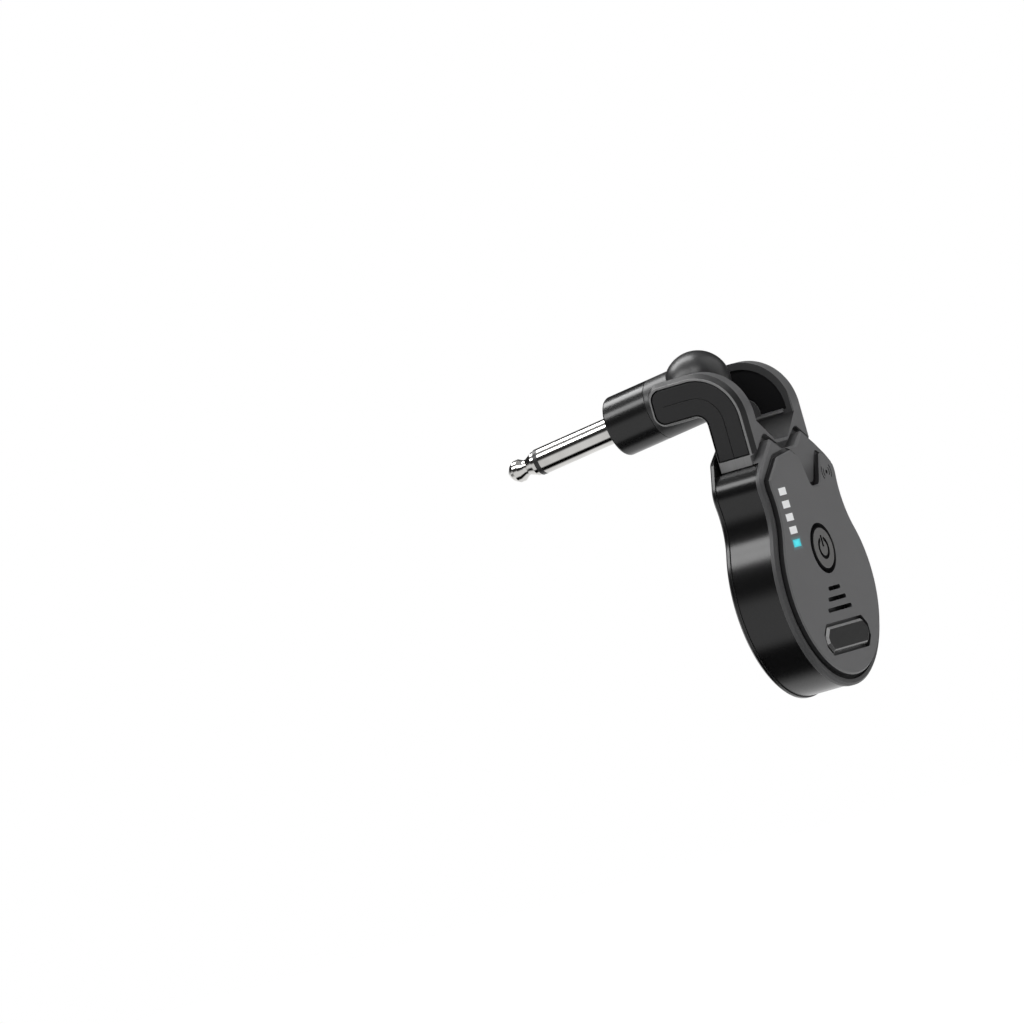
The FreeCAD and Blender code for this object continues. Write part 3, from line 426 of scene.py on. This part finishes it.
# Yoke. Two hooked ears on a bridge, in the same grey as the shell. The sides, the inside and the
# bridge's top carry painted shade, the edge round each cover's pocket a painted highlight, and the foot
# under each cover is brushed lighter.
yoke_grey = (0.098, 0.098, 0.1)
side_shade_black = (0.01, 0.01, 0.0105)
bridge_shade_black = (0.05, 0.05, 0.051)
lip_highlight_grey = (0.19, 0.19, 0.19)
foot_grey = (0.15, 0.15, 0.15)
ear_side = 14.25
lip_side = 15.3
lip_strength = 0.8
foot_top = 25.3
brush_length = 0.03
brush_fineness = 2600.0
brush_contrast = (0.3, 0.75)
ear_inner = 11.2
ear_recess = 10.6
ear_shadow = 0.65
ear_recess_shadow = 0.35
inside_foot = (27.5, 28.5)
inside_front = 3.0
bridge_side = 10.5
bridge_foot = 27.0
bridge_peak = 34.0
bridge_shadow = 0.7


def ear_sides(tree):
    """Chamfered side, tip and pocket of each ear, above the foot, which carry painted shade."""
    x, y, z = on_case(tree)
    return (abs(x) > ear_side) * (z > foot_top)


def bridge_top(tree):
    """Sloping top of the bridge and the flats behind the shell's peaks, which carry painted shade."""
    x, y, z = on_case(tree)
    return (facing(tree)[2] > edge_on) * (abs(x) < bridge_side) * (z < bridge_peak)


def ear_inside_shade(tree):
    """Painted shade on the faces between the ears, down to the bridge, and on the bridge's top."""
    x, y, z = on_case(tree)
    inward = (abs(facing(tree)[0]) > half_on) * (abs(x) < ear_inner) * z.between(*inside_foot)
    inward = inward * (y > inside_front) * ((abs(x) > ear_recess) * ear_recess_shadow + ear_shadow)
    return inward | (bridge_top(tree) * (z > bridge_foot) * bridge_shadow)


def foot_brushed(tree):
    """Fine upright lines on the foot."""
    x, y, z = on_case(tree)
    lines = tree.node("VectorMath", {"operation": "MULTIPLY"}, {
        0: tree.node("TexCoord", output="Object"), 1: (1.0, 1.0, brush_length)})
    lines = tree.node("TexNoise", sockets={0: lines, "Scale": brush_fineness, "Detail": 3.0})
    return (abs(x) > ear_side) * (z < foot_top) * lines.between(*brush_contrast)


def pocket_lip(tree):
    """Painted highlight along the edge round each cover's pocket."""
    return (abs(on_case(tree)[0]) > lip_side) * lip_strength


paint_node("yoke", moulded("yoke_grey", yoke_grey, 0.42, painted_shade=ear_inside_shade, tones=[
    (bridge_top, bridge_shade_black), (ear_sides, side_shade_black), (pocket_lip, lip_highlight_grey),
    (foot_brushed, foot_grey)]))


# Ledges. A small moulded step at the root of each ear, where the bridge begins. Its top slopes inward
# and catches the light between the ears.
ledge_grey = (0.12, 0.12, 0.122)
ledge_root = 10.95
ledge_level = 33.0
ledge_section = [(ledge_root, 33.8), (10.1, 33.3), (9.95, 33.15), (9.95, 32.95), (10.3, 32.8),
                 (ledge_root, 32.8)]
ledge_depths = [(5.2, 0.25), (5.5, 0.0), (12.2, 0.0), (12.5, 0.25)]


def placed(x, y, z):
    """A point given in the case's millimetres, in the part's own frame."""
    return x / 1000, (y - case_y) / 1000, (z - case_z) / 1000


def lofted(name, stacks, paint):
    """A piece skinned over stacks of rings, each closed at both ends."""
    mesh = bpy.data.meshes.new(name)
    skin = bmesh.new()
    for stack in stacks:
        rings = [[skin.verts.new(point) for point in ring] for ring in stack]
        count = len(rings[0])
        for near, far in zip(rings, rings[1:]):
            for i in range(count):
                j = (i + 1) % count
                skin.faces.new((near[i], near[j], far[j], far[i]))
        skin.faces.new(rings[0])
        skin.faces.new(rings[-1][::-1])
    bmesh.ops.recalc_face_normals(skin, faces=skin.faces)
    skin.to_mesh(mesh)
    skin.free()
    mesh.materials.append(paint)
    piece = bpy.data.objects.new(name, mesh)
    bpy.context.scene.collection.objects.link(piece)
    return piece


ledge_stacks = []
for side in (-1, 1):
    stack = []
    for depth, draw_in in ledge_depths:
        stack.append([placed(side * (across + (ledge_root - across) * draw_in), depth,
                             up + (ledge_level - up) * draw_in) for across, up in ledge_section])
    ledge_stacks.append(stack)
ledges = lofted("ear_ledges", ledge_stacks, moulded("ledge_grey", ledge_grey, 0.35))
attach(ledges, "housing")


# Hook covers. Flat satin covers over the wire channels in the ears, clipped in, with one fine line
# down the middle.
cover_black = (0.0125, 0.0125, 0.013)
line_and_shadow_black = (0.004, 0.004, 0.004)
cover_floor = 15.2


def cover_line_and_shadow(tree):
    """The fine line, and painted shadow along the cut edge."""
    across = abs(facing(tree)[0])
    return ((abs(on_case(tree)[0]) < cover_floor) * (across > square_on)) | (across < edge_on)


for name in ("left_hook_cover", "right_hook_cover"):
    paint_node(name, moulded(name + "_satin", cover_black, 0.5, shine=0.35, wear_and_highlight=0.12,
                             tones=[(cover_line_and_shadow, line_and_shadow_black)]))


# Knuckle and barrel. Black satin plastic. The knuckle's ball-ended neck turns between the ears, and
# the barrel is a turned grip that is pressed over its end.
knuckle_black = (0.02, 0.02, 0.0205)
barrel_black = (0.006, 0.006, 0.0062)
paint_node("knuckle", moulded("knuckle_satin", knuckle_black, 0.33))
paint_node("barrel_sleeve", moulded("barrel_black", barrel_black, 0.22, grain=0.0004,
                                    grain_height=0.000001))


# Name plate. A small polished plate glued into its recess, left blank, with a cut bevel round it
# that carries a painted highlight.
plate_black = (0.008, 0.008, 0.008)
bevel_highlight_grey = (0.3, 0.3, 0.3)
downward = -0.2
rightward = 0.3
down_loss = 0.8
right_loss = 0.6


def plate_bevel(tree):
    """Painted highlight on the sloping edge of the plate, dimmer where it looks down or to the right."""
    look = facing(tree)
    slope = (abs(look[1]) < square_on) * (abs(look[1]) > edge_on)
    return slope * (1.0 - (look[2] < downward) * down_loss) * (1.0 - (look[0] > rightward) * right_loss)


paint_node("name_plate", moulded("plate_black", plate_black, 0.12, grain=0.0008, grain_height=0.000002,
                                 wear_and_highlight=0.5, tones=[(plate_bevel, bevel_highlight_grey)]))


# Power button. A round key with the common power sign pressed into it, painted satin grey.
# The sign is a ring, open at the top, with an upright bar in the opening.
key_grey = (0.104, 0.102, 0.1)
key_front = -0.12
sign_radius = 2.3
sign_half_line = 0.42
sign_opening = 0.8
bar_half_width = 0.4
bar_foot = 0.3
bar_top = 3.05


def key_shade(tree):
    """Painted shade on the pressed sign and on the key's flank."""
    x, y, z = on_case(tree)
    opening = (abs(x) < sign_opening) * (z > 0.0)
    ring = (abs(from_middle(tree, x, z) - sign_radius) < sign_half_line) * (1.0 - opening)
    bar = (abs(x) < bar_half_width) * (z > bar_foot) * (z < bar_top)
    return (y > key_front) | ring | bar


paint_node("power_button", moulded("key_grey", key_grey, 0.4, wear_and_highlight=0.35, painted_shade=key_shade))


# Indicator windows. Five small frosted windows, flush with the panel. Four are unlit and milky, and
# the lowest one is lit from behind by a cyan lamp.
window_white = (0.93, 0.935, 0.94)
window_cyan = (0.05, 0.45, 0.5)
lamp_middle = (0.03, 0.42, 0.47)
lamp_edge = (0.0, 0.2, 0.24)
lamp_fade = (0.2, 1.0)


def lit(tree):
    """Light through the window: brightest in the middle."""
    x, y, z = on_case(tree)
    far = (abs(x - window_x) * 0.5) | abs(z - window_z)
    return far.between(*lamp_fade).mix(opaque(lamp_middle), opaque(lamp_edge))


paint_node("indicator_windows", moulded("window_white", window_white, 0.4, patch=0.02, wear_and_highlight=0.0))
paint_node("lit_indicator_window", moulded("window_cyan", window_cyan, 0.4, wear_and_highlight=0.0, glow=lit))


# Jack plug. Turned brass with a bright nickel finish: a long sleeve, a black ring and a waisted tip.
# The lathe leaves fine rings round it.
nickel = (0.7, 0.69, 0.67)
insulator_black = (0.012, 0.012, 0.012)
arm_droop = math.radians(7.0)
arm_axis = (0.0, math.cos(arm_droop), -math.sin(arm_droop))


def surfaced(tree, base, roughness, height, depth, metallic=0.0, soft=None):
    """Closes a finish: one shader with its colour, its roughness and its fine relief."""
    relief = {"Height": height, "Distance": depth}
    if soft:
        relief["Normal"] = soft
    shader = tree.node("BsdfPrincipled", sockets={
        "Base Color": base, "Metallic": metallic, "Roughness": roughness,
        "Normal": tree.node("Bump", sockets=relief)})
    tree.node("OutputMaterial", sockets={0: shader})


def turned(name, colour, roughness, groove=0.00022, depth=0.0000012, smear=0.05, axis=arm_axis):
    """Turned metal: fine rings round an axis, and faint smears that dull it in places."""
    paint, tree = unlit(name)
    place = tree.node("TexCoord", output="Object")
    along = tree.node("VectorMath", {"operation": "DOT_PRODUCT"}, {0: place, 1: axis}, "Value")
    drift = tree.node("TexNoise", sockets={0: place, "Scale": 500.0, "Detail": 2.0})
    rings = tree.maths("SINE", along * (2 * math.pi / groove) + drift * 1.5)
    smears = tree.node("TexNoise", sockets={0: place, "Scale": 180.0, "Detail": 4.0})
    base = smears.between(0.35, 0.8).mix(opaque(colour), opaque(colour, 0.82))
    surfaced(tree, base, smears * smear + roughness, rings, depth, metallic=1.0)
    return paint


for name in ("plug_sleeve", "plug_tip"):
    paint_node(name, turned(name + "_nickel", nickel, 0.1))
paint_node("plug_insulator", moulded("ring_black", insulator_black, 0.35))


# Inside the plug arm. A nickel rod carries the signal through the plug, a brass flange holds the plug
# in the barrel, and two tinned lugs take the wires.
brass = (0.66, 0.47, 0.2)
lug_tin = (0.62, 0.6, 0.55)
paint_node("plug_core", turned("core_nickel", nickel, 0.2))
paint_node("plug_collar", turned("collar_brass", brass, 0.26, groove=0.0004))
for name in ("ground_lug", "signal_lug"):
    paint_node(name, turned(name + "_tin", lug_tin, 0.34, groove=0.0006, smear=0.3))


# Wires. Stranded copper in soft coloured sleeves, two in the arm, one up each ear and two from the
# battery. The sleeves are dull, slightly rough and dusty.
wire_red = (0.4, 0.015, 0.012)
wire_black = (0.015, 0.015, 0.016)
dust_grey = (0.3, 0.28, 0.26)
dust_cover = 0.25
dust_depth = 0.00002
leads_middle = -12.5


def insulated(name, left_colour, right_colour, parting=0.0):
    """Soft wire sleeve: one colour left of the parting, another right of it."""
    paint, tree = unlit(name)
    place = tree.node("TexCoord", output="Object")
    dust = tree.node("TexNoise", sockets={0: place, "Scale": 700.0, "Detail": 4.0})
    base = (on_case(tree)[0] > parting).mix(opaque(left_colour), opaque(right_colour))
    base = (dust.between(0.5, 0.9) * dust_cover).mix(base, opaque(dust_grey))
    surfaced(tree, base, dust * 0.3 + 0.4, dust, dust_depth)
    return paint


paint_node("arm_wires", insulated("arm_wire_sleeves", wire_black, wire_red))
paint_node("hinge_wires", insulated("hinge_wire_sleeves", wire_black, wire_black))
paint_node("battery_leads", insulated("battery_lead_sleeves", wire_black, wire_red, leads_middle))


# Hinge. Hollow steel pins turn in bronze bushes, and a spring washer on each side gives the friction.
# All three are turned parts, so their fine rings run round the hinge's axis.
across_case = (1.0, 0.0, 0.0)
steel = (0.56, 0.56, 0.57)
bronze = (0.55, 0.36, 0.17)
paint_node("hinge_pins", turned("pin_steel", steel, 0.18, axis=across_case))
paint_node("hinge_bushes", turned("bush_bronze", bronze, 0.3, axis=across_case))
paint_node("friction_washers", turned("washer_steel", steel, 0.3, groove=0.0005, axis=across_case))


# Screws. Small zinc-plated steel screws with cross recesses: four in the cover, three in the board
# and two up into the yoke.
zinc = (0.42, 0.42, 0.43)
through_case = (0.0, 1.0, 0.0)
up_case = (0.0, 0.0, 1.0)
for name, axis in (("case_screws", through_case), ("board_screws", through_case), ("yoke_screws", up_case)):
    paint_node(name, turned(name + "_zinc", zinc, 0.28, groove=0.0003, depth=0.000004, axis=axis))


# Circuit board. Green glass-fibre board, with copper tracks under the green lacquer. The sawn edge
# shows the pale fibre.
lacquer_dark = (0.012, 0.09, 0.035)
lacquer_light = (0.018, 0.12, 0.05)
track_green = (0.035, 0.2, 0.07)
fibre = (0.38, 0.33, 0.18)
track_rise = 0.00003


def board_finish():
    """Solder mask over tracks, and a fibre edge."""
    paint, tree = unlit("board_green")
    place = tree.node("TexCoord", output="Object")
    x, y, z = on_case(tree)
    tracks = tree.node("TexBrick", {"offset": 0.37}, {
        0: tree.node("CombineXYZ", sockets={0: x, 1: z}), "Scale": 0.55, "Mortar Size": 0.035,
        "Color1": no_light, "Color2": no_light, "Mortar": paper_white}, "Fac")
    patches = tree.node("TexNoise", sockets={0: place, "Scale": 160.0, "Detail": 3.0})
    base = patches.mix(opaque(lacquer_dark), opaque(lacquer_light))
    base = tracks.mix(base, opaque(track_green))
    rim = abs(facing(tree)[1]) < half_on
    base = rim.mix(base, opaque(fibre))
    surfaced(tree, base, rim * 0.4 + 0.28, tracks, track_rise)
    return paint


paint_node("circuit_board", board_finish())


# Chips, switch and connector. Black epoxy blocks with a light mark at one corner, a black switch with
# its stem, and a milky nylon connector, all soldered to the board.
epoxy_black = (0.014, 0.014, 0.015)
mark_grey = (0.12, 0.12, 0.12)
mark_radius = 0.3
switch_black = (0.02, 0.02, 0.021)
stem_brown = (0.05, 0.03, 0.02)
nylon = (0.68, 0.65, 0.56)


def chip_mark(mark_x, mark_z):
    """Round mark: on a chip it shows the first leg, on the switch it is painted shade at the middle."""
    def mask(tree):
        x, y, z = on_case(tree)
        return from_middle(tree, x - mark_x, z - mark_z) < mark_radius
    return mask


for name, finish, colour, roughness, mark_x, mark_z, mark_tone in (
        ("codec_chip", "codec_epoxy", epoxy_black, 0.55, 3.3, 13.7, mark_grey),
        ("charger_chip", "charger_epoxy", epoxy_black, 0.55, 3.0, 4.5, mark_grey),
        ("tact_switch", "switch_nylon", switch_black, 0.45, 0.0, 0.0, pit_shade_black)):
    paint_node(name, moulded(finish, colour, roughness, tones=[(chip_mark(mark_x, mark_z), mark_tone)]))
paint_node("switch_plunger", moulded("plunger_nylon", stem_brown, 0.4))
paint_node("battery_connector", moulded("connector_nylon", nylon, 0.5, patch=0.05))


# Lamps and antenna. White ceramic blocks, with a yellow dot of phosphor on each lamp and tinned ends
# on the antenna.
lamp_ceramic = (0.72, 0.71, 0.68)
phosphor = (0.75, 0.5, 0.08)
lamp_half_pitch = 1.55
dot_half_width = 0.45
dot_half_height = 0.25
antenna_ceramic = (0.66, 0.64, 0.58)
antenna_tin = (0.35, 0.35, 0.34)
antenna_x = -12.0
antenna_bare = 2.9


def lamp_dots(tree):
    """Phosphor in the middle of each lamp."""
    x, y, z = on_case(tree)
    step = tree.maths("PINGPONG", z - window_z, lamp_half_pitch)
    return (abs(x - window_x) < dot_half_width) * (step < dot_half_height)


def antenna_ends(tree):
    """Tinned ends of the antenna."""
    return abs(on_case(tree)[0] - antenna_x) > antenna_bare


paint_node("indicator_leds", moulded("lamp_ceramic", lamp_ceramic, 0.45, patch=0.04,
                                     tones=[(lamp_dots, phosphor)]))
paint_node("chip_antenna", moulded("antenna_ceramic", antenna_ceramic, 0.4, patch=0.05,
                                   tones=[(antenna_ends, antenna_tin)]))


# Shield can and charging socket. Thin pressed steel. The can covers the radio, and the socket's
# tongue is black, with gilt contacts on both faces.
can_tin = (0.6, 0.6, 0.58)
socket_steel = (0.6, 0.6, 0.61)
tongue_black = (0.012, 0.012, 0.012)
gilt = (0.8, 0.6, 0.25)
bend_radius = 0.00015
line_depth = 0.000003
port_z = 2.9
port_half_height = 3.35
tongue_y = 7.4
tongue_half_depth = 0.4
contact_count = 8
contact_pitch = 0.7
contact_root = 10.9
contact_tip = 16.7
contact_half = 0.16
contact_outline = [(contact_root, contact_half), (contact_tip - 0.75, contact_half),
                   (contact_tip - 0.6, 0.1), (contact_tip - 0.55, 0.0), (contact_tip - 0.6, -0.1),
                   (contact_tip - 0.75, -contact_half), (contact_root, -contact_half)]
contact_rises = [(0.33, 1.0), (0.37, 1.0), (0.39, 0.75)]


def pressed(name, colour, roughness, dark=None):
    """Rolled sheet metal: long faint lines along the sheet and softened bends."""
    paint, tree = unlit(name)
    place = tree.node("TexCoord", output="Object")
    rolled = tree.node("VectorMath", {"operation": "MULTIPLY"}, {0: place, 1: (1.0, 1.0, 0.05)})
    lines = tree.node("TexNoise", sockets={0: rolled, "Scale": 1800.0, "Detail": 3.0})
    soft = tree.node("Bevel", {"samples": 6}, {"Radius": bend_radius})
    base = lines.mix(opaque(colour, 0.85), opaque(colour))
    metallic = 1.0
    if dark:
        mask = dark(tree)
        base = mask.mix(base, opaque(tongue_black))
        metallic = 1.0 - mask
    surfaced(tree, base, lines * 0.12 + roughness, lines, line_depth, metallic, soft)
    return paint


def socket_tongue(tree):
    """The tongue and the back of the socket."""
    x, y, z = on_case(tree)
    return (abs(y - tongue_y) < tongue_half_depth) * (abs(z - port_z) < port_half_height)


paint_node("radio_shield_can", pressed("can_tin", can_tin, 0.26))
paint_node("usb_socket", pressed("socket_steel", socket_steel, 0.2, socket_tongue))

contact_stacks = []
for face in (-1, 1):
    for i in range(contact_count):
        middle = port_z + (i - (contact_count - 1) / 2) * contact_pitch
        contact_stacks.append([[placed(across, tongue_y + face * rise, middle + side * draw_in)
                                for across, side in contact_outline] for rise, draw_in in contact_rises])
socket_contacts = lofted("socket_contacts", contact_stacks,
                         turned("contact_gilt", gilt, 0.2, axis=across_case))
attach(socket_contacts, "housing")


# Battery. A pouch cell in soft silver foil with an amber strip along the sealed edge, stuck to the
# board with tape and pressed by a foam pad.
foil_dark = (0.5, 0.5, 0.51)
foil_light = (0.68, 0.68, 0.69)
amber = (0.55, 0.25, 0.02)
amber_edge = (-4.6, -4.4)
crease_depth = 0.00015
tape_white = (0.55, 0.54, 0.5)
foam_grey = (0.04, 0.04, 0.042)
foam_roughness = 0.95


def pouch_finish():
    """Creased foil, and amber film along the top edge."""
    paint, tree = unlit("cell_foil")
    place = tree.node("TexCoord", output="Object")
    creases = tree.node("TexNoise", sockets={0: place, "Scale": 240.0, "Detail": 5.0, "Distortion": 1.2})
    strip = on_case(tree)[2].between(*amber_edge)
    base = creases.mix(opaque(foil_dark), opaque(foil_light))
    base = strip.mix(base, opaque(amber))
    surfaced(tree, base, creases * 0.2 + 0.25, creases, crease_depth, metallic=1.0 - strip)
    return paint


def open_cell(name, colour, cell, depth):
    """Foam or felted tape: open cells with dark hollows."""
    paint, tree = unlit(name)
    place = tree.node("TexCoord", output="Object")
    cells = tree.node("TexVoronoi", sockets={0: place, "Scale": 1.0 / cell}, output="Distance")
    base = cells.between(0.1, 0.7).mix(opaque(colour), opaque(colour, 0.4))
    surfaced(tree, base, foam_roughness, cells, depth)
    return paint


paint_node("battery", pouch_finish())
paint_node("battery_tape", open_cell("tape_white", tape_white, 0.0004, 0.00002))
paint_node("battery_foam", open_cell("foam_grey", foam_grey, 0.0007, 0.0002))


# Light barrier. A grid of black foam with one cell for each lamp, die cut and pressed between board
# and shell, so that a lit lamp shows in its own window only.
barrier_black = (0.015, 0.015, 0.015)
paint_node("light_barrier", open_cell("barrier_black", barrier_black, 0.0005, 0.0001))
